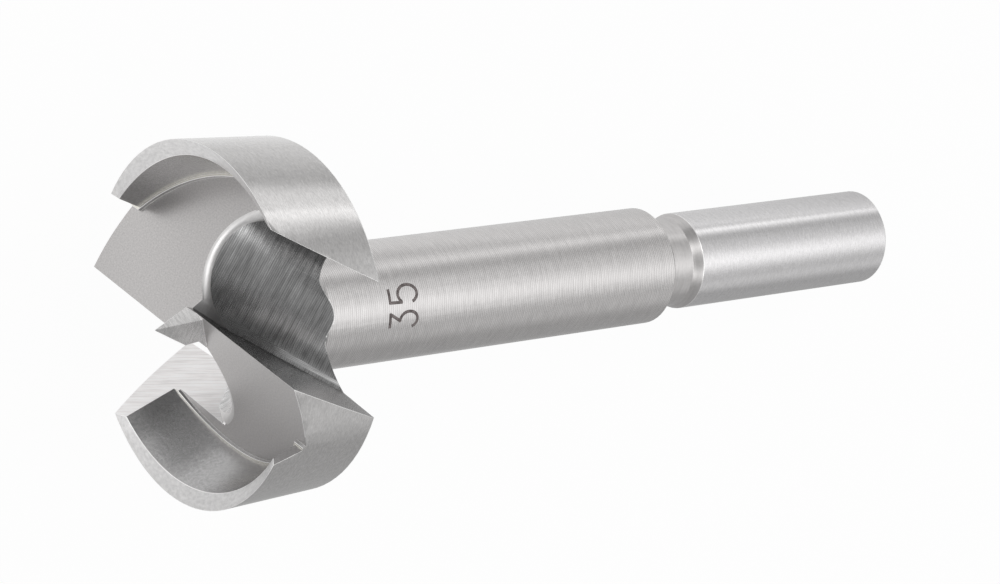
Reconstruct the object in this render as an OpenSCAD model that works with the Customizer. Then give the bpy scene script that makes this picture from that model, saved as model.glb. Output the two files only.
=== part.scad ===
/* [Cutting head] */
// Diameter of the hole that the head cuts, across the front edge of the rim
cut_d = 35; // [30:0.5:50]
// Depth of the head at the rim, from its front edge to its back edge
head_l = 10.25; // [9:0.05:14]
// How much deeper the cone at the back of the head is where it meets the body
back_cone = 0.9; // [0.4:0.1:2]
// How much smaller the head's radius is at its back, so that the rim runs free
back_clearance = 0.5; // [0.2:0.1:1]
// Thickness of the rim, across the wall at the middle of each wing
rim_wall = 1.05; // [0.8:0.05:1.6]
// Distance of the recess's centre ahead of the lip, which thins the rim's two ends
recess_ahead = 2.05; // [1:0.05:3]
// Distance of the recess's centre to the trailing side of the axis
recess_side = 0.5; // [0:0.1:1]
// Slope of the bevel that sharpens the front edge of the rim
rim_bevel = 28; // [15:1:40]
// Distance of each lip ahead of the axis
lip_ahead = 1.65; // [1.2:0.05:2.2]
// Slope of the flank behind each lip
relief = 24.5; // [18:0.5:28]
// Length of the open flank, from the lip to the leading end of the rim
flank_l = 7.5; // [5:0.1:9]
// Height of the ledge at the foot of the rim's inner wall
ledge_h = 0.36; // [0.2:0.02:0.6]
// Width of that ledge
ledge_w = 0.28; // [0.15:0.01:0.5]

/* [Gullets] */
// Width of each gullet, from the rake face to the trailing face
gullet_w = 11.4; // [10:0.1:13]
// Radius of the cutter that mills the inner end of the gullet
gullet_r = 6.3; // [5.8:0.1:8]
// Slope of the inner end, away from the axis towards the back
gullet_slope = 41; // [35:0.5:48]
// How far the inner end reaches past the axis, on the flank
gullet_reach = 2.75; // [2:0.05:3.5]
// Width of the ramp that eases the edge between the flank and the inner end
ease_w = 0.8; // [0.2:0.1:1.2]

/* [Centre point] */
// Height of the centre point above the front edge of the rim
point_h = 3.9; // [2.5:0.1:6]
// Width of the point across its corners, level with the rim
point_w = 4.2; // [3.4:0.1:5]
// Angle of the point's first corner from the lip
point_corner = 38; // [25:1:50]
// Angle between the point's two corners on one side of the axis
point_spread = 64; // [50:1:90]

/* [Body and shank] */
// Diameter of the body behind the head
body_d = 12; // [10:0.5:16]
// Length of the body, behind the cone of the head
body_l = 44.4; // [25:0.1:80]
// Radius of the fillet where the body meets the head
root_r = 0.8; // [0.4:0.1:2]
// Chamfer at the end of the body
body_chamfer = 0.7; // [0.3:0.1:1.2]
// Diameter of the neck between body and shank
neck_d = 9.2; // [7:0.1:9.5]
// Length of the neck
neck_l = 3.1; // [1:0.1:6]
// Length of the cone from the neck out to the shank
neck_cone = 1.1; // [0.4:0.1:2]
// Diameter of the shank, as the chuck grips it
shank_d = 10; // [9.6:0.1:13]
// Length of the shank
shank_l = 26.9; // [20:0.1:60]
// Chamfer at the end of the shank, measured on the radius
end_chamfer = 0.6; // [0.2:0.1:1.5]

/* [Hidden] */
$fn = 96;

cut_r = cut_d / 2;
back_r = cut_r - back_clearance;
body_r = body_d / 2;
neck_r = neck_d / 2;
shank_r = shank_d / 2;

// Stations along the axis, with the rim's front edge at 0 and the shank at the negative end
head_z = -head_l;
root_z = head_z - back_cone;
body_z = root_z - body_l;
neck_z = body_z - neck_l;
grip_z = neck_z - neck_cone;
end_z = grip_z - shank_l;

recess_r = cut_r - rim_wall + recess_ahead;
bevel_w = 2 * rim_wall;
gullet_near = 2 * lip_ahead * cos(relief);
gullet_far = gullet_near + gullet_w;
gullet_mid = (gullet_near + gullet_far) / 2;
reach_over = 2 * cut_d;
point_root = 2.5;

// The ramp lies half way between the inner end and the flank, and follows the same curve
ease_slope = (gullet_slope + 90) / 2;
ease_r = gullet_r * cos(gullet_slope) / cos(ease_slope);
ease_top = cut_r / 6;

// Fillet between the body and the cone at the back of the head
back_slope = atan2(back_cone, back_r - body_r);
root_centre = [body_r + root_r, root_z + root_r * (tan(back_slope) - 1 / cos(back_slope))];
root_touch = root_centre + root_r * [-sin(back_slope), cos(back_slope)];

// The three points that the bit lies on: the back corner of one wing's trailing end, the other wing's
// leading edge at its lowest, and the end of the shank. They give the way down, as a turn about the
// axis and a pitch along it.
corner_y = lip_ahead - gullet_far / cos(relief) + head_l * tan(relief);
corner = [-sqrt(back_r ^ 2 - corner_y ^ 2), corner_y, head_z];
edge_y = -lip_ahead / 3;
edge_z = (edge_y + lip_ahead) / -tan(relief);
edge_r = cut_r + edge_z * back_clearance / head_l;
edge = [-sqrt(edge_r ^ 2 - edge_y ^ 2), edge_y, edge_z];
heel_z = end_z + end_chamfer;
swing = [for (i = [0, 1]) corner[i] * (heel_z - edge.z) - edge[i] * (heel_z - corner.z)];
down_turn = atan2(swing.y, swing.x) + acos(shank_r * (corner.z - edge.z) / norm(swing));
corner_drop = corner.x * cos(down_turn) + corner.y * sin(down_turn);
down_pitch = atan((corner_drop - shank_r) / (heel_z - corner.z));
lie_pitch = 90 + down_pitch;
lie_height = corner_drop * cos(down_pitch) + corner.z * sin(down_pitch);
tip_x = point_h * sin(lie_pitch);
tail_x = end_z * sin(lie_pitch) - (shank_r - end_chamfer) * cos(lie_pitch);

// Turned blank: head, body, neck and shank in one profile about the axis
module blank() {
    rotate_extrude()
        difference() {
            polygon([
                [0, 0], [cut_r, 0], [back_r, head_z], root_touch, root_centre, [body_r, root_centre.y],
                [body_r, body_z + body_chamfer], [body_r - body_chamfer, body_z],
                [neck_r, body_z], [neck_r, neck_z], [shank_r, grip_z],
                [shank_r, end_z + end_chamfer], [shank_r - end_chamfer, end_z], [0, end_z]
            ]);
            translate(root_centre) circle(root_r);
        }
}

// Places a cut in one wing's setting: X along the lip, Z square to the flank, Y ahead of the lip
module wing_setting() {
    translate([0, lip_ahead, 0]) rotate([relief, 0, 0]) children();
}

// Outline, on the flank, of what is cleared inside the rim and in front of it
module flank_outline(wall) {
    intersection() {
        translate([-recess_side, recess_ahead]) circle(recess_r - wall);
        union() {
            translate([0, -cut_d]) square(cut_d);
            translate([-cut_d, -cut_d]) square([cut_d, cut_d - gullet_mid]);
        }
    }
    translate([0, wall - flank_l]) square([cut_d, flank_l - wall]);
}

// Clears one wing down to its flank, with the ledge left round the foot of the rim
module flank_cut() {
    wing_setting() {
        linear_extrude(reach_over) flank_outline(ledge_w);
        translate([0, 0, ledge_h]) linear_extrude(reach_over) flank_outline(0);
    }
}

// Bevel inside the front edge of one wing's rim, behind the open flank
module bevel_cut() {
    inner_r = cut_r - bevel_w;
    intersection() {
        rotate_extrude()
            polygon([[cut_r, 0], [cut_r, cut_r], [inner_r, cut_r], [inner_r, -bevel_w * tan(rim_bevel)]]);
        wing_setting()
            translate([-cut_d, -2 * cut_d, -cut_d])
                cube([2 * cut_d, 2 * cut_d - flank_l + rim_wall, 2 * cut_d]);
    }
}

// One pass along the lip in the wing's setting: its round inner end slopes away from the axis
module gullet_pass(radius, slope, reach) {
    translate([reach - radius / cos(slope), -gullet_mid, 0])
        rotate([0, slope, 0])
            linear_extrude(reach_over, center = true) {
                circle(radius);
                translate([-reach_over, -radius]) square([reach_over, 2 * radius]);
            }
}

// One gullet, with the edge of its inner end eased into the flank, clear of the rim above it
module gullet_cut() {
    wing_setting()
        intersection() {
            translate([-reach_over, -gullet_far, -reach_over])
                cube([2 * reach_over, gullet_w, 2 * reach_over]);
            union() {
                gullet_pass(gullet_r, gullet_slope, gullet_reach);
                intersection() {
                    gullet_pass(ease_r, ease_slope, gullet_reach + ease_w / 2);
                    translate([-reach_over, -reach_over, -reach_over])
                        cube([2 * reach_over, 2 * reach_over, reach_over + ease_top]);
                }
            }
        }
}

// Four-sided centre point, rooted in the web between the gullets
module centre_point() {
    root_w = point_w * (point_h + point_root) / point_h / 2;
    angles = [for (side = [0, 180], turn = [0, point_spread]) point_corner + side + turn];
    corners = [for (angle = angles) [root_w * cos(angle), root_w * sin(angle), -point_root]];
    polyhedron(
        concat(corners, [[0, 0, point_h]]),
        [[0, 1, 2, 3], [1, 0, 4], [2, 1, 4], [3, 2, 4], [0, 3, 4]]
    );
}

// Both wings are alike, half a turn apart
module both_wings() {
    for (turn = [0, 180]) rotate([0, 0, turn]) children();
}

// The bit about its own axis, with the point at the positive end
module upright_bit() {
    difference() {
        union() {
            difference() {
                blank();
                both_wings() {
                    flank_cut();
                    bevel_cut();
                }
            }
            centre_point();
        }
        both_wings() gullet_cut();
    }
}

// The bit as it lies on a flat surface, over its middle
module forstner_bit() {
    color("silver")
        translate([-(tip_x + tail_x) / 2, 0, lie_height])
            rotate([0, lie_pitch, 0])
                rotate([0, 0, -down_turn])
                    upright_bit();
}

forstner_bit();
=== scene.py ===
"""Looks of a steel forstner bit, dressed over its solid in the shared frame."""

from __future__ import annotations

import logging
import math
from dataclasses import dataclass, field
from enum import Enum

import bmesh
import bpy
from mathutils import Matrix, Vector

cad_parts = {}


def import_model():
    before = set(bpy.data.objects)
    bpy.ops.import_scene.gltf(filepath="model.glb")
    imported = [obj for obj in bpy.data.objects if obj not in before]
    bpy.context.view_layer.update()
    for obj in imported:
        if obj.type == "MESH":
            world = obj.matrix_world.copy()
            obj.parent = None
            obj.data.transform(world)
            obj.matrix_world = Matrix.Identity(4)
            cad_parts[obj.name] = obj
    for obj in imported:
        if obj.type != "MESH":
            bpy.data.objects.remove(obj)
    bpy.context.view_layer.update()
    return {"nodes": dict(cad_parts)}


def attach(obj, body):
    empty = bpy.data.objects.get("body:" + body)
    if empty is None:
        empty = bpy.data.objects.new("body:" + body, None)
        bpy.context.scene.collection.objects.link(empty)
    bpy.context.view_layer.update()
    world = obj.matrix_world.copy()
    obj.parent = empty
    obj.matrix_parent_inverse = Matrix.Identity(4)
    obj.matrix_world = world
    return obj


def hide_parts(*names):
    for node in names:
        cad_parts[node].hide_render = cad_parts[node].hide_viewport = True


LOG = logging.getLogger("forstner_bit")
MM = 0.001
NODE = "forstner_bit"
BODY = "root"
PHOTO_WIDTH_PX = 1000
TINY = 1e-6

# Spans that the noise masks mostly keep to, for colour and for gloss
MASK_SPAN = (0.25, 0.75)
GLOSS_SPAN = (0.3, 0.7)

Pair = tuple[float, float]
Triple = tuple[float, float, float]


class Region(Enum):
    """A stretch of the bit's surface that one cut or one tool made."""

    RIM_OUTSIDE = "rim_outside"
    RIM_BEVEL = "rim_bevel"
    RIM_INSIDE = "rim_inside"
    LEDGE = "ledge"
    FLANK = "flank"
    RAKE = "rake"
    GULLET = "gullet"
    EASE = "ease"
    TRAIL = "trail"
    POINT = "point"
    BACK = "back"
    TURNED_BODY = "turned_body"
    NECK = "neck"
    SHANK = "shank"


class Lay(Enum):
    """The way that the tool marks of a finish run."""

    ROUND_AXIS = "round_axis"
    ALONG_FLANK = "along_flank"
    ROUND_GULLET = "round_gullet"


@dataclass(frozen=True)
class BitPlace:
    """How the bit lies in the shared frame.

    The bit's own frame has the point at +Z, the rim's front edge at Z 0 and one lip along +X.
    """

    turn_deg: float = 193.327
    pitch_deg: float = 81.81321
    shift_mm: float = 41.26662
    lift_mm: float = 17.2026

    def to_row(self) -> Matrix:
        """Returns the matrix from the bit's own frame to the shared frame, in millimetres."""
        place = Matrix.Translation((self.shift_mm, 0.0, self.lift_mm))
        pitch = Matrix.Rotation(math.radians(self.pitch_deg), 4, "Y")
        turn = Matrix.Rotation(math.radians(-self.turn_deg), 4, "Z")
        return place @ pitch @ turn

    def to_bit(self) -> Matrix:
        """Returns the matrix from the shared frame to the bit's own frame, in millimetres."""
        return self.to_row().inverted()


@dataclass(frozen=True)
class BitSizes:
    """Sizes of the bit in millimetres and degrees, as the solid has them."""

    cut_r: float = 17.5
    head_l: float = 10.25
    back_clearance: float = 0.5
    body_r: float = 6.0
    body_z: float = -55.55
    grip_z: float = -59.75
    lip_ahead: float = 1.65
    relief: float = 24.5
    gullet_near: float = 3.003
    gullet_w: float = 11.4
    gullet_slope: float = 41.0
    ease_slope: float = 65.5
    ease_top: float = 2.92
    recess_ahead: float = 2.05
    recess_side: float = 0.5
    recess_r: float = 18.5
    ledge_h: float = 0.36
    point_h: float = 3.9

    def wing(self, side: int) -> Matrix:
        """Gives the setting that one wing is cut in.

        Args:
            side: 0 for the wing with its lip along +X, 1 for the other.

        Returns:
            The matrix from that setting, in millimetres, to the bit's own frame.
        """
        half_turn = Matrix.Rotation(math.pi * side, 4, "Z")
        ahead = Matrix.Translation((0.0, self.lip_ahead, 0.0))
        return half_turn @ ahead @ Matrix.Rotation(math.radians(self.relief), 4, "X")


@dataclass
class RegionFinder:
    """Tells which cut made a face, from where the face is and where it looks.

    Slacks and reaches are in millimetres. Shares say how much of a face's normal lies one way.
    """

    sizes: BitSizes
    flat_share: float = 0.985
    round_share: float = 0.98
    rim_share: float = 0.95
    bevel_share: float = 0.6
    back_share: float = 0.5
    ramp_share: float = 0.3
    wall_share: float = 0.15
    pass_share: float = 0.05
    station_slack: float = 0.01
    front_slack: float = 0.02
    point_slack: float = 0.02
    flank_slack: float = 0.03
    plane_slack: float = 0.05
    gullet_slack: float = 0.1
    rim_slack: float = 0.12
    recess_slack: float = 0.5
    fillet_slack: float = 1.2
    point_reach: float = 4.5
    bevel_reach: float = 14.0

    def find(self, centre: Vector, normal: Vector) -> tuple[Region, int]:
        """Names the region of a face, and the wing that it belongs to.

        Args:
            centre: Middle of the face in the bit's own frame, in millimetres.
            normal: Outward normal in the same frame.

        Returns:
            The region, and 0 for the wing with its lip along +X or 1 for the other.
        """
        s = self.sizes
        radius = math.hypot(centre.x, centre.y)
        if centre.z < s.grip_z - self.station_slack:
            return Region.SHANK, 0
        if centre.z < s.body_z - self.station_slack:
            return Region.NECK, 0
        radial = (normal.x * centre.x + normal.y * centre.y) / max(radius, TINY)
        cone_r = s.cut_r + s.back_clearance * centre.z / s.head_l
        tip = Vector((0.0, 0.0, s.point_h))
        if radius < self.point_reach and abs(normal @ (centre - tip)) < self.point_slack:
            return Region.POINT, 0
        if abs(radius - cone_r) < self.rim_slack and radial > self.rim_share:
            return Region.RIM_OUTSIDE, 0
        if abs(radius - s.body_r) < self.plane_slack and radial > self.round_share:
            return Region.TURNED_BODY, 0
        for side in (0, 1):
            found = self._in_wing(side, centre, normal)
            if found is not None:
                return found, side
        if normal.z > self.bevel_share and radius > self.bevel_reach:
            return Region.RIM_BEVEL, 0
        in_fillet = abs(radius - s.body_r) < self.fillet_slack and centre.z < -s.head_l
        if in_fillet or (normal.z < -self.back_share and radius > s.body_r):
            return Region.BACK, 0
        spot = s.wing(0).inverted() @ centre
        return Region.GULLET, 0 if spot.y < -0.5 * s.gullet_near else 1

    def _in_wing(self, side: int, centre: Vector, normal: Vector) -> Region | None:
        """Looks for the region among the cuts of one wing.

        Args:
            side: Which wing.
            centre: Middle of the face in the bit's own frame, in millimetres.
            normal: Outward normal in the same frame.

        Returns:
            The region, or None where no cut of that wing made the face.
        """
        s = self.sizes
        inverse = s.wing(side).inverted()
        spot = inverse @ centre
        way = (inverse.to_3x3() @ normal).normalized()
        if way.z > self.flat_share:
            if abs(spot.z) < self.flank_slack:
                return Region.FLANK
            if centre.z < self.front_slack and abs(spot.z - s.ledge_h) < self.plane_slack:
                return Region.LEDGE
        near, far = -s.gullet_near, -s.gullet_near - s.gullet_w
        if abs(way.y) > self.flat_share and spot.y < 0.0:
            if abs(spot.y - near) < self.plane_slack:
                return Region.RAKE
            if abs(spot.y - far) < self.plane_slack:
                return Region.TRAIL
        if abs(way.z) < self.wall_share and spot.z > -self.plane_slack:
            hub = Vector((spot.x + s.recess_side, spot.y - s.recess_ahead, 0.0))
            if hub.length > s.recess_r - self.recess_slack or abs(way.y) > self.flat_share:
                return Region.RIM_INSIDE
        if far - self.gullet_slack < spot.y < near + self.gullet_slack:
            on_ramp = way.z > self.ramp_share and spot.z < s.ease_top
            if on_ramp and self._follows(way, s.ease_slope):
                return Region.EASE
            if self._follows(way, s.gullet_slope):
                return Region.GULLET
        return None

    def _follows(self, way: Vector, slope_deg: float) -> bool:
        """Tells whether a face lies along a pass of the cutter.

        Args:
            way: Outward normal of the face in the wing's setting.
            slope_deg: How far the pass slopes away from the axis.

        Returns:
            Whether the normal is square to the pass.
        """
        slope = math.radians(slope_deg)
        return abs(way @ Vector((math.sin(slope), 0.0, math.cos(slope)))) < self.pass_share


@dataclass(frozen=True)
class SteelFinish:
    """How one tool leaves the steel: its tint, its gloss and its fine lines.

    The pitches count marks for each millimetre, across the lines and along them. The contrasts and
    the bump say how strong the marks are, and the ridge share how much of them is an even groove.
    Where the level reach is more than 0, the tint is multiplied by the near level at the rake face
    and by the far level that many millimetres across the gullet. These levels are painted light:
    below 1 a painted shade in the corner under the rake face, above 1 a painted brightening towards
    the far side.
    """

    name: str
    lay: Lay
    tint: Triple
    roughness: float
    roughness_swing: float = 0.02
    line_pitch: float = 6.0
    along_pitch: float = 0.15
    line_contrast: float = 0.10
    mottle_contrast: float = 0.05
    mottle_pitch: float = 0.5
    bump: float = 0.25
    ridge_share: float = 0.0
    painted_near_level: float = 1.0
    painted_far_level: float = 1.0
    painted_reach_mm: float = 0.0


GROUND_RIM = SteelFinish(
    "ground_rim", Lay.ROUND_AXIS, (0.64, 0.63, 0.625), 0.16,
    line_pitch=8.0, along_pitch=2.0, line_contrast=0.18, mottle_contrast=0.05, mottle_pitch=4.0,
    bump=0.18,
)
BEVEL_EDGE = SteelFinish(
    "bevel_edge", Lay.ROUND_AXIS, (0.72, 0.712, 0.71), 0.30,
    line_pitch=6.0, along_pitch=1.6, line_contrast=0.16, mottle_contrast=0.04, mottle_pitch=4.0,
    bump=0.1,
)
RECESS_WALL = SteelFinish(
    "recess_wall", Lay.ALONG_FLANK, (0.50, 0.495, 0.495), 0.25,
    roughness_swing=0.0, line_pitch=6.0, along_pitch=3.2, line_contrast=0.2,
    mottle_contrast=0.02, mottle_pitch=3.0, bump=0.4,
)
LEDGE_STRIP = SteelFinish(
    "ledge_strip", Lay.ALONG_FLANK, (0.88, 0.855, 0.79), 0.36,
    line_pitch=3.0, along_pitch=1.0, line_contrast=0.08, bump=0.1,
)
GROUND_FLANK = SteelFinish(
    "ground_flank", Lay.ALONG_FLANK, (0.56, 0.545, 0.54), 0.32,
    line_pitch=7.0, along_pitch=4.0, line_contrast=0.18, mottle_contrast=0.07, mottle_pitch=5.0,
    bump=0.1,
)
MILLED_FACE = SteelFinish(
    "milled_face", Lay.ROUND_GULLET, (0.44, 0.44, 0.44), 0.26,
    line_pitch=4.5, along_pitch=0.3, line_contrast=0.24, bump=0.25, ridge_share=0.4,
)
BRIGHT_FACE = SteelFinish(
    "bright_face", Lay.ROUND_GULLET, (0.95, 0.925, 0.92), 0.30,
    line_pitch=4.5, along_pitch=0.3, line_contrast=0.26, bump=0.35, ridge_share=0.3,
)
# The ramp's tint falls to a quarter towards the rake face: painted shade in that corner.
BRIGHT_RAMP = SteelFinish(
    "bright_ramp", Lay.ROUND_GULLET, (0.80, 0.79, 0.785), 0.36,
    line_pitch=5.0, along_pitch=0.6, line_contrast=0.08, bump=0.08, painted_near_level=0.25,
    painted_reach_mm=4.0,
)
# The gullet's tint is painted darker in the corner under the rake face and lighter towards the
# trail face: painted shade and painted light.
MILLED_GULLET = SteelFinish(
    "milled_gullet", Lay.ROUND_GULLET, (0.50, 0.50, 0.50), 0.25,
    line_pitch=5.0, along_pitch=0.3, line_contrast=0.62, mottle_contrast=0.1, mottle_pitch=1.2,
    bump=0.75, ridge_share=0.3, painted_near_level=0.45, painted_far_level=1.4, painted_reach_mm=11.4,
)
GROUND_POINT = SteelFinish(
    "ground_point", Lay.ROUND_AXIS, (0.80, 0.79, 0.785), 0.24,
    line_pitch=6.0, along_pitch=1.0, line_contrast=0.2, bump=0.05,
)
# Near-white tint of the rounded outer edges: partly wear, partly a painted highlight along each
# edge.
BROKEN_EDGE = SteelFinish(
    "broken_edge", Lay.ROUND_AXIS, (0.96, 0.95, 0.945), 0.30,
    line_contrast=0.05, bump=0.05,
)
TURNED_BACK = SteelFinish(
    "turned_back", Lay.ROUND_AXIS, (0.58, 0.57, 0.565), 0.30,
    line_pitch=4.0, along_pitch=0.6, line_contrast=0.1, bump=0.15,
)
TURNED_STEEL = SteelFinish(
    "turned_steel", Lay.ROUND_AXIS, (0.63, 0.615, 0.61), 0.27,
    line_pitch=4.4, along_pitch=0.5, line_contrast=0.24, mottle_contrast=0.05, mottle_pitch=3.0,
    bump=0.4, ridge_share=0.55,
)
TURNED_NECK = SteelFinish(
    "turned_neck", Lay.ROUND_AXIS, (0.63, 0.615, 0.61), 0.30,
    line_pitch=4.4, along_pitch=0.5, line_contrast=0.12, mottle_contrast=0.05, mottle_pitch=3.0,
    bump=0.15,
)
GROUND_SHANK = SteelFinish(
    "ground_shank", Lay.ROUND_AXIS, (0.72, 0.71, 0.715), 0.19,
    line_pitch=7.0, along_pitch=1.5, line_contrast=0.11, mottle_contrast=0.06, mottle_pitch=4.0,
    bump=0.1,
)

FINISH_OF: dict[Region, SteelFinish] = {
    Region.RIM_OUTSIDE: GROUND_RIM,
    Region.RIM_BEVEL: BEVEL_EDGE,
    Region.RIM_INSIDE: RECESS_WALL,
    Region.LEDGE: LEDGE_STRIP,
    Region.FLANK: GROUND_FLANK,
    Region.RAKE: MILLED_FACE,
    Region.GULLET: MILLED_GULLET,
    Region.EASE: BRIGHT_RAMP,
    Region.TRAIL: BRIGHT_FACE,
    Region.POINT: GROUND_POINT,
    Region.BACK: TURNED_BACK,
    Region.TURNED_BODY: TURNED_STEEL,
    Region.NECK: TURNED_NECK,
    Region.SHANK: GROUND_SHANK,
}


def math_socket(
    tree: bpy.types.NodeTree, operation: str, *inputs: bpy.types.NodeSocket | float
) -> bpy.types.NodeSocket:
    """Adds a node that works out one sum.

    Args:
        tree: The nodes being made.
        operation: What the node works out.
        *inputs: Its inputs in order, each a socket or a plain number.

    Returns:
        The socket that gives the result.
    """
    node = tree.nodes.new("ShaderNodeMath")
    node.operation = operation
    for target, value in zip(node.inputs, inputs):
        if isinstance(value, bpy.types.NodeSocket):
            tree.links.new(value, target)
        else:
            target.default_value = value
    return node.outputs["Value"]


def range_socket(
    tree: bpy.types.NodeTree,
    value: bpy.types.NodeSocket,
    old: Pair,
    new: Pair,
    smooth: bool = False,
) -> bpy.types.NodeSocket:
    """Adds a node that moves a value from one span to another, and holds it there.

    Args:
        tree: The nodes being made.
        value: The socket that gives the value.
        old: The span that the value comes in.
        new: The span that it is moved to.
        smooth: Whether it eases in and out at the ends.

    Returns:
        The socket that gives the result.
    """
    node = tree.nodes.new("ShaderNodeMapRange")
    node.interpolation_type = "SMOOTHSTEP" if smooth else "LINEAR"
    for name, end in zip(("From Min", "From Max", "To Min", "To Max"), (*old, *new)):
        node.inputs[name].default_value = end
    tree.links.new(value, node.inputs["Value"])
    return node.outputs["Result"]


@dataclass
class SteelShop:
    """Makes the steel finishes, all on one shared node group for tool marks."""

    place: BitPlace
    sizes: BitSizes
    line_detail: float = 4.0
    line_roughness: float = 0.62
    line_wander: float = 3.0
    mottle_detail: float = 5.0
    bump_mm: float = 0.02
    made: dict[tuple[str, int], bpy.types.Material] = field(default_factory=dict)
    marks: bpy.types.ShaderNodeTree | None = None

    def tool_marks(self) -> bpy.types.ShaderNodeTree:
        """Returns the shared group that turns a place on the steel into line and mottle masks."""
        if self.marks is not None:
            return self.marks
        tree = bpy.data.node_groups.new("tool_marks", "ShaderNodeTree")
        tree.interface.new_socket("Place", in_out="INPUT", socket_type="NodeSocketVector")
        for name in ("Line pitch", "Along pitch", "Mottle pitch", "Ridge share"):
            tree.interface.new_socket(name, in_out="INPUT", socket_type="NodeSocketFloat")
        for name in ("Lines", "Mottle"):
            tree.interface.new_socket(name, in_out="OUTPUT", socket_type="NodeSocketFloat")
        nodes, links = tree.nodes, tree.links
        source, sink = nodes.new("NodeGroupInput"), nodes.new("NodeGroupOutput")
        pitch = nodes.new("ShaderNodeCombineXYZ")
        for axis, name in zip("XYZ", ("Along pitch", "Along pitch", "Line pitch")):
            links.new(source.outputs[name], pitch.inputs[axis])
        stretch = nodes.new("ShaderNodeVectorMath")
        stretch.operation = "MULTIPLY"
        links.new(source.outputs["Place"], stretch.inputs[0])
        links.new(pitch.outputs["Vector"], stretch.inputs[1])
        lines = nodes.new("ShaderNodeTexNoise")
        lines.inputs["Scale"].default_value = 1.0
        lines.inputs["Detail"].default_value = self.line_detail
        lines.inputs["Roughness"].default_value = self.line_roughness
        links.new(stretch.outputs["Vector"], lines.inputs["Vector"])
        mottle = nodes.new("ShaderNodeTexNoise")
        mottle.inputs["Detail"].default_value = self.mottle_detail
        links.new(source.outputs["Place"], mottle.inputs["Vector"])
        links.new(source.outputs["Mottle pitch"], mottle.inputs["Scale"])
        links.new(mottle.outputs["Fac"], sink.inputs["Mottle"])
        axes = nodes.new("ShaderNodeSeparateXYZ")
        links.new(stretch.outputs["Vector"], axes.inputs["Vector"])
        wander = math_socket(tree, "MULTIPLY", lines.outputs["Fac"], self.line_wander)
        turn = math_socket(tree, "MULTIPLY_ADD", axes.outputs["Z"], math.tau, wander)
        ridge = range_socket(tree, math_socket(tree, "SINE", turn), (-1.0, 1.0), MASK_SPAN)
        both = nodes.new("ShaderNodeMix")
        links.new(source.outputs["Ridge share"], both.inputs["Factor"])
        links.new(lines.outputs["Fac"], both.inputs["A"])
        links.new(ridge, both.inputs["B"])
        links.new(both.outputs["Result"], sink.inputs["Lines"])
        self.marks = tree
        return tree

    def lay_frame(self, lay: Lay, side: int) -> Matrix:
        """Gives the frame that a finish's lines run across, along its own Z.

        Args:
            lay: The way that the marks run.
            side: Which wing the face belongs to.

        Returns:
            The matrix from that frame to the shared frame, in millimetres.
        """
        row = self.place.to_row()
        wing = self.sizes.wing(side)
        if lay is Lay.ALONG_FLANK:
            return row @ wing @ Matrix.Rotation(math.radians(-90.0), 4, "X")
        if lay is Lay.ROUND_GULLET:
            return row @ wing @ Matrix.Rotation(math.radians(self.sizes.gullet_slope), 4, "Y")
        return row

    def steel(self, finish: SteelFinish, side: int) -> bpy.types.Material:
        """Makes one finish, or returns it where it is made already.

        Args:
            finish: The finish.
            side: Which wing it is for, where its lines follow the wing.

        Returns:
            The material.
        """
        if finish.lay is Lay.ROUND_AXIS:
            side = 0
        key = (finish.name, side)
        if key in self.made:
            return self.made[key]
        material = bpy.data.materials.new(f"{finish.name}_{side}")
        material.use_nodes = True
        nodes, links = material.node_tree.nodes, material.node_tree.links
        shader = nodes["Principled BSDF"]
        shader.inputs["Metallic"].default_value = 1.0
        inverse = self.lay_frame(finish.lay, side).inverted()
        place = nodes.new("ShaderNodeMapping")
        place.inputs["Location"].default_value = inverse.to_translation()
        place.inputs["Rotation"].default_value = inverse.to_euler("XYZ")
        place.inputs["Scale"].default_value = (1.0 / MM,) * 3
        where = nodes.new("ShaderNodeTexCoord")
        links.new(where.outputs["Object"], place.inputs["Vector"])
        marks = nodes.new("ShaderNodeGroup")
        marks.node_tree = self.tool_marks()
        for name, value in (
            ("Line pitch", finish.line_pitch),
            ("Along pitch", finish.along_pitch),
            ("Mottle pitch", finish.mottle_pitch),
            ("Ridge share", finish.ridge_share),
        ):
            marks.inputs[name].default_value = value
        links.new(place.outputs["Vector"], marks.inputs["Place"])
        tint = self._tint(material.node_tree, place, marks, finish)
        links.new(tint, shader.inputs["Base Color"])
        swing = finish.roughness_swing
        span = (finish.roughness - swing, finish.roughness + swing)
        gloss = range_socket(material.node_tree, marks.outputs["Mottle"], GLOSS_SPAN, span)
        links.new(gloss, shader.inputs["Roughness"])
        bump = nodes.new("ShaderNodeBump")
        bump.inputs["Strength"].default_value = finish.bump
        bump.inputs["Distance"].default_value = self.bump_mm * MM
        links.new(marks.outputs["Lines"], bump.inputs["Height"])
        links.new(bump.outputs["Normal"], shader.inputs["Normal"])
        self.made[key] = material
        return material

    def _tint(
        self,
        tree: bpy.types.NodeTree,
        place: bpy.types.Node,
        marks: bpy.types.Node,
        finish: SteelFinish,
    ) -> bpy.types.NodeSocket:
        """Makes the base colour: the tint, made lighter and darker by lines and mottle, and by
        painted shade and light across a gullet where the finish has a reach.

        Args:
            tree: The material's nodes.
            place: The node that gives the place in the finish's own frame.
            marks: The tool marks node.
            finish: The finish that is wanted.

        Returns:
            The socket that gives the colour.
        """
        level: bpy.types.NodeSocket | float = 1.0
        for name, contrast in (("Lines", finish.line_contrast), ("Mottle", finish.mottle_contrast)):
            span = (1.0 - contrast, 1.0 + contrast)
            part = range_socket(tree, marks.outputs[name], MASK_SPAN, span)
            level = math_socket(tree, "MULTIPLY", level, part)
        # Where the finish has a reach, the tint also takes the painted shade and light across the
        # gullet.
        if finish.painted_reach_mm > 0.0:
            level = math_socket(tree, "MULTIPLY", level, self._painted_light_across_gullet(tree, place, finish))
        colour = tree.nodes.new("ShaderNodeVectorMath")
        colour.operation = "SCALE"
        colour.inputs[0].default_value = finish.tint
        tree.links.new(level, colour.inputs["Scale"])
        return colour.outputs["Vector"]

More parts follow.
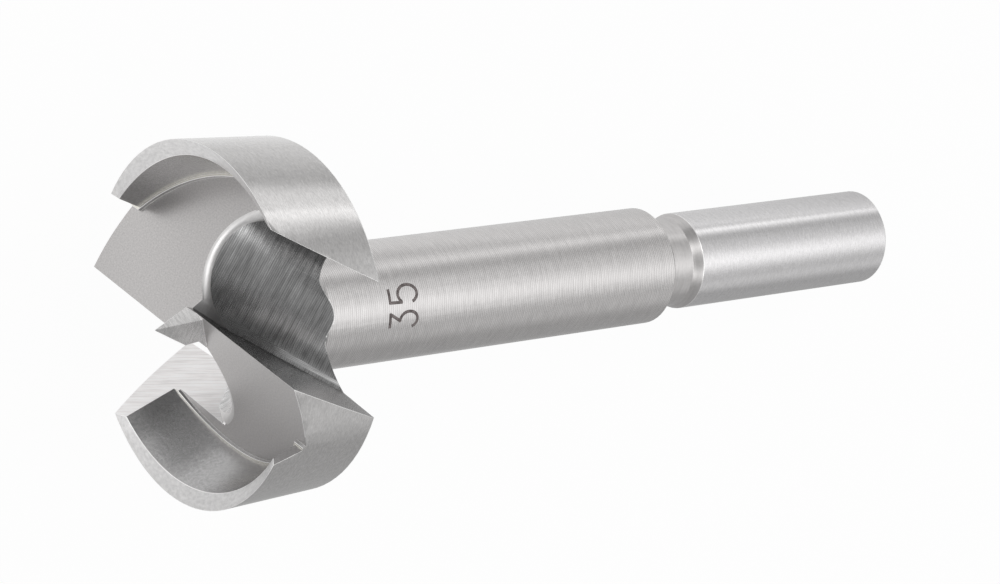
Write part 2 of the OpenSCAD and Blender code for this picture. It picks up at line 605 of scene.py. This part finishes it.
    def _painted_light_across_gullet(
        self, tree: bpy.types.NodeTree, place: bpy.types.Node, finish: SteelFinish
    ) -> bpy.types.NodeSocket:
        """Makes the painted level across a gullet: painted shade in the corner under the rake face,
        rising to the far level beyond, which is a painted brightening where it is above 1.

        Args:
            tree: The material's nodes.
            place: The node that gives the place in the finish's own frame.
            finish: The finish that is wanted.

        Returns:
            The socket that gives the level.
        """
        axes = tree.nodes.new("ShaderNodeSeparateXYZ")
        tree.links.new(place.outputs["Vector"], axes.inputs["Vector"])
        corner = -self.sizes.gullet_near
        reach = (corner - finish.painted_reach_mm, corner)
        levels = (finish.painted_far_level, finish.painted_near_level)
        return range_socket(tree, axes.outputs["Y"], reach, levels, smooth=True)


@dataclass
class SteelBit:
    """The bit itself: its solid with broken edges and a finish on each cut.

    Edges that turn by less than the sharp angle stay as they are, and flat faces that turn by less
    than the facet angle become one.
    """

    place: BitPlace
    sizes: BitSizes
    shop: SteelShop
    edge_break_mm: float = 0.05
    back_break_mm: float = 0.16
    ramp_blend_mm: float = 0.22
    rounding_rows: int = 3
    sharp_deg: float = 16.0
    facet_deg: float = 0.4
    hollow_deg: float = 4.0
    weld_m: float = 1e-7
    shade_weight: int = 80

    def build(self, node: bpy.types.Object) -> bpy.types.Object:
        """Makes the dressed bit from the solid's mesh.

        Args:
            node: The solid, which stays as it is.

        Returns:
            The finished piece.
        """
        mesh = node.data.copy()
        mesh.name = "bit_steel"
        mesh.materials.clear()
        piece = bpy.data.objects.new("bit_steel", mesh)
        bpy.context.scene.collection.objects.link(piece)
        shape = bmesh.new()
        shape.from_mesh(mesh)
        bmesh.ops.remove_doubles(shape, verts=shape.verts, dist=self.weld_m)
        bmesh.ops.dissolve_degenerate(shape, dist=self.weld_m, edges=shape.edges)
        bmesh.ops.dissolve_limit(
            shape,
            angle_limit=math.radians(self.facet_deg),
            verts=shape.verts,
            edges=shape.edges,
            delimit={"NORMAL"},
        )
        regions = self._dress(shape, mesh)
        self._weigh_edges(shape, regions)
        shape.to_mesh(mesh)
        shape.free()
        self._break_edges(piece)
        return piece

    def _dress(self, shape: bmesh.types.BMesh, mesh: bpy.types.Mesh) -> dict[int, Region]:
        """Gives each face the finish of the cut that made it.

        Args:
            shape: The mesh being worked on.
            mesh: The mesh data that holds the material slots.

        Returns:
            The region of each face, by the face's index.
        """
        finder = RegionFinder(self.sizes)
        to_bit = self.place.to_bit()
        turn = to_bit.to_3x3()
        slots: dict[str, int] = {}
        regions: dict[int, Region] = {}
        shape.faces.ensure_lookup_table()
        shape.faces.index_update()
        for face in shape.faces:
            centre = to_bit @ (face.calc_center_median() / MM)
            region, side = finder.find(centre, turn @ face.normal)
            regions[face.index] = region
            steel = self.shop.steel(FINISH_OF[region], side)
            if steel.name not in slots:
                slots[steel.name] = len(mesh.materials)
                mesh.materials.append(steel)
            face.material_index = slots[steel.name]
            face.smooth = True
        mesh.materials.append(self.shop.steel(BROKEN_EDGE, 0))
        return regions

    def _weigh_edges(self, shape: bmesh.types.BMesh, regions: dict[int, Region]) -> None:
        """Says how far each sharp edge is broken, as a share of the widest rounding.

        The ramp's upper edge is rounded most. Its lower edge and the facets of the back are not.

        Args:
            shape: The mesh being worked on.
            regions: The region of each face.
        """
        weight = shape.edges.layers.float.new("bevel_weight_edge")
        limit = math.radians(self.sharp_deg)
        widths = {
            frozenset((Region.EASE, Region.FLANK)): self.ramp_blend_mm,
            frozenset((Region.EASE, Region.GULLET)): 0.0,
            frozenset((Region.BACK,)): 0.0,
            frozenset((Region.BACK, Region.TURNED_BODY)): 0.0,
            frozenset((Region.RIM_OUTSIDE, Region.BACK)): self.back_break_mm,
        }
        for edge in shape.edges:
            if len(edge.link_faces) != 2 or edge.calc_face_angle(0.0) < limit:
                continue
            pair = frozenset(regions[face.index] for face in edge.link_faces)
            edge[weight] = widths.get(pair, self.edge_break_mm) / self.ramp_blend_mm

    def _break_edges(self, piece: bpy.types.Object) -> None:
        """Rounds the marked edges and settles the shading.

        Args:
            piece: The dressed bit.
        """
        # The rounding takes the near-white edge tint: partly wear, partly a painted highlight.
        worn_sheen_slot = len(piece.data.materials) - 1
        bevel = piece.modifiers.new("broken_edges", "BEVEL")
        bevel.limit_method = "WEIGHT"
        bevel.width = self.ramp_blend_mm * MM
        bevel.segments = self.rounding_rows
        bevel.material = worn_sheen_slot
        bevel.use_clamp_overlap = False
        bevel.miter_outer = "MITER_ARC"
        shade = piece.modifiers.new("even_shading", "WEIGHTED_NORMAL")
        shade.keep_sharp = True
        shade.weight = self.shade_weight
        bake_modifiers(piece)
        self._settle_rounding(piece.data, worn_sheen_slot)

    def _settle_rounding(self, mesh: bpy.types.Mesh, worn_sheen_slot: int) -> None:
        """Gives the rounding of the ramp and of inner corners the finish beside it.

        Only outer edges keep the near-white edge tint, which is partly wear and partly a painted
        highlight.

        Args:
            mesh: The mesh with its edges rounded.
            worn_sheen_slot: The material slot of the rounding.
        """
        ramps = {mesh.materials.find(self.shop.steel(BRIGHT_RAMP, side).name) for side in (0, 1)}
        shape = bmesh.new()
        shape.from_mesh(mesh)
        inner = {
            face for face in shape.faces
            if face.material_index == worn_sheen_slot and any(self._is_hollow(edge) for edge in face.edges)
        }
        for _ in range(self.rounding_rows):
            settled: dict[bmesh.types.BMFace, int] = {}
            for face in shape.faces:
                if face.material_index != worn_sheen_slot:
                    continue
                around = [other for edge in face.edges for other in edge.link_faces]
                beside = [other for other in around if other.material_index != worn_sheen_slot]
                by_ramp = [other for other in beside if other.material_index in ramps]
                if by_ramp or (beside and face in inner):
                    widest = max(by_ramp or beside, key=lambda other: other.calc_area())
                    settled[face] = widest.material_index
            for face, slot in settled.items():
                face.material_index = slot
                mesh.polygons[face.index].material_index = slot
        shape.free()

    def _is_hollow(self, edge: bmesh.types.BMEdge) -> bool:
        """Tells whether the faces beside an edge turn inwards there."""
        return not edge.is_convex and edge.calc_face_angle(0.0) > math.radians(self.hollow_deg)


@dataclass
class SizeMark:
    """The cutting diameter in millimetres, burnt into the body as two single-stroke digits.

    Strokes are drawn flat, round the body and along it in millimetres from the mark's middle. The
    burnt pitch counts spots for each millimetre.
    """

    place: BitPlace
    sizes: BitSizes
    middle_deg: float = 21.0
    middle_z: float = -20.4
    stroke_mm: float = 0.3
    depth_mm: float = 0.03
    proud_mm: float = 0.008
    step_mm: float = 0.08
    weld_mm: float = 0.004
    arc_steps: int = 28
    burnt_dark: Triple = (0.14, 0.12, 0.117)
    burnt_light: Triple = (0.31, 0.27, 0.265)
    burnt_span: Pair = (0.35, 0.70)
    burnt_pitch: float = 2.5
    burnt_detail: float = 3.0
    burnt_metallic: float = 0.35
    burnt_roughness: float = 0.55

    def build(self) -> bpy.types.Object:
        """Makes the mark.

        Returns:
            The finished piece.
        """
        mesh = bpy.data.meshes.new("size_mark")
        points: list[Triple] = []
        edges: list[tuple[int, int]] = []
        for stroke in self._strokes():
            first = len(points)
            points += [(across * MM, along * MM, 0.0) for across, along in stroke]
            edges += [(i, i + 1) for i in range(first, len(points) - 1)]
        mesh.from_pydata(points, edges, [])
        piece = bpy.data.objects.new("size_mark", mesh)
        bpy.context.scene.collection.objects.link(piece)
        tree = self._wrap_group()
        wrap = piece.modifiers.new("wrap_strokes", "NODES")
        wrap.node_group = tree
        values = {
            "Stroke width": self.stroke_mm * MM,
            "Thickness": (self.depth_mm + self.proud_mm) * MM,
            "Radius": (self.sizes.body_r + 0.5 * (self.proud_mm - self.depth_mm)) * MM,
            "Middle angle": math.radians(self.middle_deg),
            "Middle along": self.middle_z * MM,
        }
        for item in tree.interface.items_tree:
            if item.name in values:
                wrap[item.identifier] = values[item.name]
        bake_modifiers(piece)
        return piece

    def _arc(self, middle: Pair, size: Pair, start: float, end: float) -> list[Pair]:
        """Draws part of an ellipse.

        Args:
            middle: Its middle.
            size: Its two radii, round the body and along it.
            start: Angle of the first point in degrees.
            end: Angle of the last point in degrees.

        Returns:
            The points from start to end.
        """
        turn = (end - start) / self.arc_steps
        angles = [math.radians(start + turn * i) for i in range(self.arc_steps + 1)]
        return [
            (middle[0] + size[0] * math.cos(angle), middle[1] + size[1] * math.sin(angle))
            for angle in angles
        ]

    def _strokes(self) -> list[list[Pair]]:
        """Returns the strokes of the two digits, which run a little past each corner."""
        three = [
            [(-2.10, 1.52), (-0.62, 1.53)],
            [(-0.666, 1.614), (-1.524, 0.286)],
            [(-1.569, 0.386), *self._arc((-1.46, -0.67), (0.83, 1.03), 84.0, -154.0)],
        ]
        five = [
            [(1.73, 1.58), (0.28, 1.526)],
            [(0.384, 1.63), (0.326, 0.08)],
            [(0.233, 0.157), *self._arc((1.08, -0.58), (0.90, 1.13), 136.0, -152.0)],
        ]
        return three + five

    def _wrap_group(self) -> bpy.types.GeometryNodeTree:
        """Makes the nodes that give the strokes a width and lay them on the body."""
        tree = bpy.data.node_groups.new("wrap_strokes", "GeometryNodeTree")
        tree.interface.new_socket("Geometry", in_out="INPUT", socket_type="NodeSocketGeometry")
        for name in ("Stroke width", "Thickness", "Radius", "Middle angle", "Middle along"):
            tree.interface.new_socket(name, in_out="INPUT", socket_type="NodeSocketFloat")
        tree.interface.new_socket("Geometry", in_out="OUTPUT", socket_type="NodeSocketGeometry")
        nodes, links = tree.nodes, tree.links
        source, sink = nodes.new("NodeGroupInput"), nodes.new("NodeGroupOutput")
        line = nodes.new("GeometryNodeMeshToCurve")
        links.new(source.outputs["Geometry"], line.inputs["Mesh"])
        even = nodes.new("GeometryNodeResampleCurve")
        even.mode = "LENGTH"
        even.inputs["Length"].default_value = self.step_mm * MM
        links.new(line.outputs["Curve"], even.inputs["Curve"])
        level = nodes.new("GeometryNodeSetCurveNormal")
        level.mode = "Z_UP"
        links.new(even.outputs["Curve"], level.inputs["Curve"])
        section = nodes.new("GeometryNodeCurvePrimitiveQuadrilateral")
        links.new(source.outputs["Stroke width"], section.inputs["Width"])
        links.new(source.outputs["Thickness"], section.inputs["Height"])
        ribbon = nodes.new("GeometryNodeCurveToMesh")
        ribbon.inputs["Fill Caps"].default_value = True
        links.new(level.outputs["Curve"], ribbon.inputs["Curve"])
        links.new(section.outputs["Curve"], ribbon.inputs["Profile Curve"])
        merged = nodes.new("GeometryNodeMeshBoolean")
        merged.operation = "UNION"
        merged.solver = "EXACT"
        merged.inputs["Self Intersection"].default_value = True
        links.new(ribbon.outputs["Mesh"], merged.inputs["Mesh 2"])
        welded = nodes.new("GeometryNodeMergeByDistance")
        welded.inputs["Distance"].default_value = self.weld_mm * MM
        links.new(merged.outputs["Mesh"], welded.inputs["Geometry"])
        laid = nodes.new("GeometryNodeSetPosition")
        links.new(welded.outputs["Geometry"], laid.inputs["Geometry"])
        links.new(self._on_body(tree, source), laid.inputs["Position"])
        lying = nodes.new("GeometryNodeTransform")
        row = self.place.to_row()
        lying.inputs["Translation"].default_value = row.to_translation() * MM
        lying.inputs["Rotation"].default_value = row.to_euler("XYZ")
        links.new(laid.outputs["Geometry"], lying.inputs["Geometry"])
        real = nodes.new("GeometryNodeRealizeInstances")
        links.new(lying.outputs["Geometry"], real.inputs["Geometry"])
        dress = nodes.new("GeometryNodeSetMaterial")
        dress.inputs["Material"].default_value = self._burnt_steel()
        links.new(real.outputs["Geometry"], dress.inputs["Geometry"])
        links.new(dress.outputs["Geometry"], sink.inputs["Geometry"])
        return tree

    @staticmethod
    def _on_body(tree: bpy.types.GeometryNodeTree, source: bpy.types.Node) -> bpy.types.NodeSocket:
        """Works out where a flat point of a stroke lies on the body, in the bit's own frame.

        Args:
            tree: The nodes being made.
            source: Their input node.

        Returns:
            The socket that gives the place.
        """
        nodes, links = tree.nodes, tree.links
        flat = nodes.new("ShaderNodeSeparateXYZ")
        where = nodes.new("GeometryNodeInputPosition")
        links.new(where.outputs["Position"], flat.inputs["Vector"])
        turned = math_socket(tree, "DIVIDE", flat.outputs["X"], source.outputs["Radius"])
        angle = math_socket(tree, "ADD", turned, source.outputs["Middle angle"])
        radius = math_socket(tree, "ADD", flat.outputs["Z"], source.outputs["Radius"])
        along = math_socket(tree, "ADD", flat.outputs["Y"], source.outputs["Middle along"])
        spot = nodes.new("ShaderNodeCombineXYZ")
        for axis, operation in (("X", "COSINE"), ("Y", "SINE")):
            share = math_socket(tree, operation, angle)
            links.new(math_socket(tree, "MULTIPLY", radius, share), spot.inputs[axis])
        links.new(along, spot.inputs["Z"])
        return spot.outputs["Vector"]

    def _burnt_steel(self) -> bpy.types.Material:
        """Makes the brown-grey of burnt steel, darker and lighter along the stroke."""
        material = bpy.data.materials.new("burnt_steel")
        material.use_nodes = True
        nodes, links = material.node_tree.nodes, material.node_tree.links
        shader = nodes["Principled BSDF"]
        shader.inputs["Metallic"].default_value = self.burnt_metallic
        shader.inputs["Roughness"].default_value = self.burnt_roughness
        where = nodes.new("ShaderNodeTexCoord")
        spots = nodes.new("ShaderNodeTexNoise")
        spots.inputs["Scale"].default_value = self.burnt_pitch / MM
        spots.inputs["Detail"].default_value = self.burnt_detail
        links.new(where.outputs["Object"], spots.inputs["Vector"])
        ramp = nodes.new("ShaderNodeValToRGB")
        colours = (self.burnt_dark, self.burnt_light)
        for stop, position, colour in zip(ramp.color_ramp.elements, self.burnt_span, colours):
            stop.position = position
            stop.color = (*colour, 1.0)
        links.new(spots.outputs["Fac"], ramp.inputs["Fac"])
        links.new(ramp.outputs["Color"], shader.inputs["Base Color"])
        return material


def bake_modifiers(piece: bpy.types.Object) -> None:
    """Turns a piece's evaluated shape into its plain mesh and drops its modifiers.

    Args:
        piece: The piece.
    """
    graph = bpy.context.evaluated_depsgraph_get()
    shaped = bpy.data.meshes.new_from_object(piece.evaluated_get(graph), depsgraph=graph)
    piece.modifiers.clear()
    old, name = piece.data, piece.data.name
    piece.data = shaped
    bpy.data.meshes.remove(old)
    shaped.name = name


@dataclass(frozen=True)
class SkyPatch:
    """One soft bright patch of the room round the bit, as the steel mirrors it.

    A higher focus makes the patch smaller.
    """

    name: str
    azimuth_deg: float
    elevation_deg: float
    focus: float
    level: float

    def way(self) -> Vector:
        """Returns the direction of the patch's middle."""
        azimuth, elevation = math.radians(self.azimuth_deg), math.radians(self.elevation_deg)
        flat = math.cos(elevation)
        return Vector((math.cos(azimuth) * flat, math.sin(azimuth) * flat, math.sin(elevation)))


@dataclass
class Studio:
    """White floor, soft light and the camera that looks as the photograph does.

    The eye, the look and the up direction are in the bit's own frame. The floor's levels are pairs
    of a place across the floor, in millimetres, and the level that the steel mirrors there.
    """

    place: BitPlace
    eye_mm: Triple = (223.85, 122.77, 158.26)
    look: Triple = (-0.69568, -0.38438, -0.60688)
    up: Triple = (-0.40756, 0.90687, -0.10719)
    focal_px: float = 3200.32
    sensor_mm: float = 36.0
    clip_m: Pair = (0.01, 20.0)
    patches: tuple[SkyPatch, ...] = (
        SkyPatch("wide_tent", 180.0, 48.0, 14.0, 1.00),
        SkyPatch("left_box", -130.0, 1.0, 80.0, 1.15),
        SkyPatch("high_box", -120.0, 48.0, 45.0, 2.10),
        SkyPatch("right_box", 138.0, 16.0, 30.0, 0.30),
        SkyPatch("left_fill", -143.0, 27.0, 30.0, 0.20),
        SkyPatch("tip_strip", -12.0, 2.0, 45.0, 3.00),
        SkyPatch("front_strip", -42.0, 12.0, 25.0, 1.70),
        SkyPatch("far_box", 60.0, 24.0, 45.0, 1.60),
        SkyPatch("far_top", 132.0, 60.0, 45.0, 1.30),
    )
    sky_level: float = 0.40
    floor_half_m: float = 2.0
    floor_white: float = 0.9
    floor_seen: float = 0.965
    floor_slant: float = 0.35
    floor_levels: tuple[Pair, ...] = (
        (-120.0, 1.0), (-100.0, 0.98), (-66.0, 0.56), (-45.0, 0.74),
        (-25.0, 0.94), (2.0, 0.74), (24.0, 0.42), (40.0, 0.44),
    )

    def build(self) -> None:
        """Sets up the floor, the world and the camera."""
        self._floor()
        self._world()
        self._camera()

    def _floor(self) -> None:
        """Lays a wide white floor that keeps a soft shadow, and that the steel mirrors unevenly."""
        mesh = bpy.data.meshes.new("floor")
        half = self.floor_half_m
        corners = [(-half, -half, 0), (half, -half, 0), (half, half, 0), (-half, half, 0)]
        mesh.from_pydata(corners, [], [(0, 1, 2, 3)])
        floor = bpy.data.objects.new("floor", mesh)
        bpy.context.scene.collection.objects.link(floor)
        material = bpy.data.materials.new("white_floor")
        material.use_nodes = True
        tree = material.node_tree
        nodes, links = tree.nodes, tree.links
        nodes.clear()
        plain = nodes.new("ShaderNodeBsdfDiffuse")
        plain.inputs["Color"].default_value = (*(self.floor_white,) * 3, 1.0)
        rays = nodes.new("ShaderNodeLightPath")
        kinds = ("Camera", "Glossy", "Transmission")
        seen, glossy, through = (rays.outputs[f"Is {kind} Ray"] for kind in kinds)
        mirrored = math_socket(tree, "MAXIMUM", glossy, through)
        share = math_socket(tree, "MULTIPLY_ADD", seen, self.floor_seen, mirrored)
        level = nodes.new("ShaderNodeMix")
        level.inputs["A"].default_value = 1.0
        links.new(mirrored, level.inputs["Factor"])
        links.new(self._floor_fade(tree), level.inputs["B"])
        white = nodes.new("ShaderNodeEmission")
        links.new(level.outputs["Result"], white.inputs["Strength"])
        mix = nodes.new("ShaderNodeMixShader")
        links.new(share, mix.inputs["Fac"])
        links.new(plain.outputs["BSDF"], mix.inputs[1])
        links.new(white.outputs["Emission"], mix.inputs[2])
        out = nodes.new("ShaderNodeOutputMaterial")
        links.new(mix.outputs["Shader"], out.inputs["Surface"])
        mesh.materials.append(material)

    def _floor_fade(self, tree: bpy.types.NodeTree) -> bpy.types.NodeSocket:
        """Makes the floor's level as the steel mirrors it.

        Args:
            tree: The nodes of the floor's material.

        Returns:
            The socket that gives the level.
        """
        nodes, links = tree.nodes, tree.links
        where = nodes.new("ShaderNodeTexCoord")
        across = nodes.new("ShaderNodeVectorMath")
        across.operation = "DOT_PRODUCT"
        across.inputs[1].default_value = (-self.floor_slant / MM, 1.0 / MM, 0.0)
        links.new(where.outputs["Object"], across.inputs[0])
        first, last = self.floor_levels[0][0], self.floor_levels[-1][0]
        span = range_socket(tree, across.outputs["Value"], (first, last), (0.0, 1.0))
        fade = nodes.new("ShaderNodeValToRGB")
        stops = fade.color_ramp.elements
        for i, (place, level) in enumerate(self.floor_levels):
            share = (place - first) / (last - first)
            stop = stops[i] if i < len(stops) else stops.new(share)
            stop.position = share
            stop.color = (level, level, level, 1.0)
        links.new(span, fade.inputs["Fac"])
        return fade.outputs["Color"]

    def _world(self) -> None:
        """Makes the room's light: an even level with soft patches, and white to the camera."""
        world = bpy.data.worlds.new("studio")
        bpy.context.scene.world = world
        world.use_nodes = True
        nodes, links = world.node_tree.nodes, world.node_tree.links
        nodes.clear()
        where = nodes.new("ShaderNodeTexCoord")
        total = None
        for patch in self.patches:
            glow = nodes.new("ShaderNodeGroup")
            glow.node_tree = self._patch_group()
            glow.name = patch.name
            glow.inputs["Middle"].default_value = patch.way()
            glow.inputs["Focus"].default_value = patch.focus
            glow.inputs["Level"].default_value = patch.level
            links.new(where.outputs["Generated"], glow.inputs["Way"])
            if total is None:
                glow.inputs["Under"].default_value = self.sky_level
            else:
                links.new(total, glow.inputs["Under"])
            total = glow.outputs["Light"]
        rays = nodes.new("ShaderNodeLightPath")
        level = nodes.new("ShaderNodeMix")
        links.new(rays.outputs["Is Camera Ray"], level.inputs["Factor"])
        links.new(total, level.inputs["A"])
        level.inputs["B"].default_value = 1.0
        light = nodes.new("ShaderNodeBackground")
        light.inputs["Color"].default_value = (1.0, 1.0, 1.0, 1.0)
        links.new(level.outputs["Result"], light.inputs["Strength"])
        out = nodes.new("ShaderNodeOutputWorld")
        links.new(light.outputs["Background"], out.inputs["Surface"])

    @staticmethod
    def _patch_group() -> bpy.types.ShaderNodeTree:
        """Returns the group that adds one soft patch to the light under it."""
        made = bpy.data.node_groups.get("soft_patch")
        if made is not None:
            return made
        tree = bpy.data.node_groups.new("soft_patch", "ShaderNodeTree")
        for name in ("Way", "Middle"):
            tree.interface.new_socket(name, in_out="INPUT", socket_type="NodeSocketVector")
        for name in ("Focus", "Level", "Under"):
            tree.interface.new_socket(name, in_out="INPUT", socket_type="NodeSocketFloat")
        tree.interface.new_socket("Light", in_out="OUTPUT", socket_type="NodeSocketFloat")
        nodes, links = tree.nodes, tree.links
        source, sink = nodes.new("NodeGroupInput"), nodes.new("NodeGroupOutput")
        near = nodes.new("ShaderNodeVectorMath")
        near.operation = "DOT_PRODUCT"
        links.new(source.outputs["Way"], near.inputs[0])
        links.new(source.outputs["Middle"], near.inputs[1])
        short = math_socket(tree, "SUBTRACT", near.outputs["Value"], 1.0)
        glow = math_socket(
            tree, "EXPONENT", math_socket(tree, "MULTIPLY", short, source.outputs["Focus"])
        )
        light = math_socket(
            tree, "MULTIPLY_ADD", glow, source.outputs["Level"], source.outputs["Under"]
        )
        links.new(light, sink.inputs["Light"])
        return tree

    def _camera(self) -> None:
        """Sets the camera as it stood in the photograph."""
        row = self.place.to_row()
        turn = row.to_3x3()
        back = -(turn @ Vector(self.look)).normalized()
        right = (turn @ Vector(self.up)).cross(back).normalized()
        above = back.cross(right)
        pose = Matrix((right, above, back)).transposed().to_4x4()
        pose.translation = (row @ Vector(self.eye_mm)) * MM
        data = bpy.data.cameras.new("camera")
        data.sensor_width = self.sensor_mm
        data.sensor_fit = "HORIZONTAL"
        data.lens = self.focal_px * self.sensor_mm / PHOTO_WIDTH_PX
        data.clip_start, data.clip_end = self.clip_m
        camera = bpy.data.objects.new("camera", data)
        camera.matrix_world = pose
        bpy.context.scene.collection.objects.link(camera)
        bpy.context.scene.camera = camera


def main() -> None:
    """Loads the solid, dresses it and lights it."""
    logging.basicConfig(level=logging.INFO, format="%(name)s: %(message)s")
    bpy.context.scene.view_settings.view_transform = "Standard"
    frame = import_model()
    place, sizes = BitPlace(), BitSizes()
    Studio(place).build()
    shop = SteelShop(place, sizes)
    steel = SteelBit(place, sizes, shop).build(frame["nodes"][NODE])
    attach(steel, BODY)
    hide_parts(NODE)
    mark = SizeMark(place, sizes).build()
    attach(mark, BODY)
    faces, finishes = len(steel.data.polygons), len(steel.data.materials)
    LOG.info("%s: %d faces, %d finishes", steel.name, faces, finishes)


if __name__ == "__main__":
    main()
